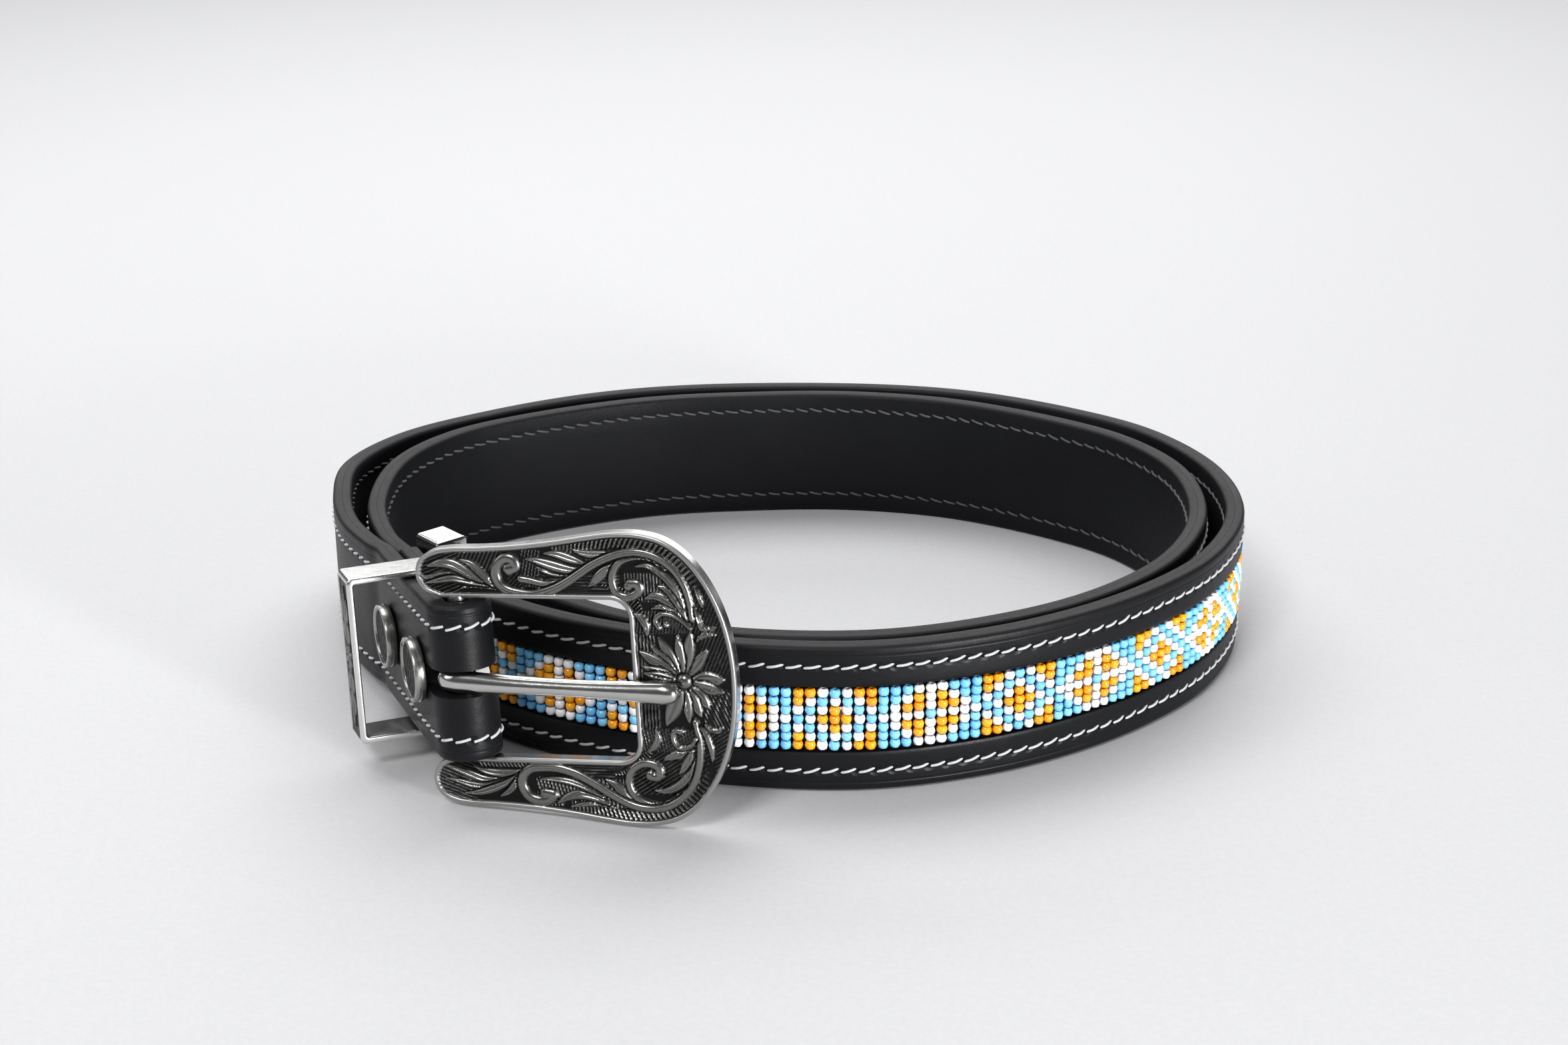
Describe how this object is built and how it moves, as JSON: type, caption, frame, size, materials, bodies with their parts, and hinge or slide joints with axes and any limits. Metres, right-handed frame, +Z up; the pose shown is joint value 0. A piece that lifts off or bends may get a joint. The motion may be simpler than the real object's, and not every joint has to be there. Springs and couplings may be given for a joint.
{
  "type": "beaded belt",
  "caption": "Leather belt coiled on its edge, with a band of patterned beads, an engraved single-prong buckle, a metal keeper, two studs and a capped tip.",
  "frame": {"origin": "middle of the coil's bounding box, on the surface that the belt's lower edge stands on", "axes": "+Z up, across the strap's width; the buckle's window faces -Y, its flower end points to +X"},
  "size_m": [0.2, 0.1762, 0.056],
  "materials": {
    "face_leather": "glossy, smooth",
    "lining_leather": "satin, burnished edges",
    "beads": "opaque, glossy",
    "antique_nickel": "blackened recesses, worn relief",
    "polished_nickel": "polished"
  },
  "bodies": {
    "belt": {"strap_lining": "lining_leather", "strap_face": "face_leather", "bead_band": "beads", "keeper": "polished_nickel", "stud_cap_1": "antique_nickel", "stud_screw_1": "antique_nickel", "stud_cap_2": "antique_nickel", "stud_screw_2": "antique_nickel", "strap_tip": "polished_nickel"},
    "frame": {"buckle_frame": "antique_nickel"},
    "prong": {"buckle_prong": "polished_nickel"}
  },
  "joints": [
    {"name": "frame_hinge", "type": "hinge", "parent": "belt", "child": "frame", "pos_m": [-0.05954, -0.07343, 0.02527], "axis": [-0.0537, 0.1349, 0.9894], "range_deg": [-60, 0]},
    {"name": "prong_hinge", "type": "hinge", "parent": "frame", "child": "prong", "pos_m": [-0.05954, -0.07343, 0.02527], "axis": [-0.0537, 0.1349, 0.9894], "range_deg": [-50, 0]}
  ]
}
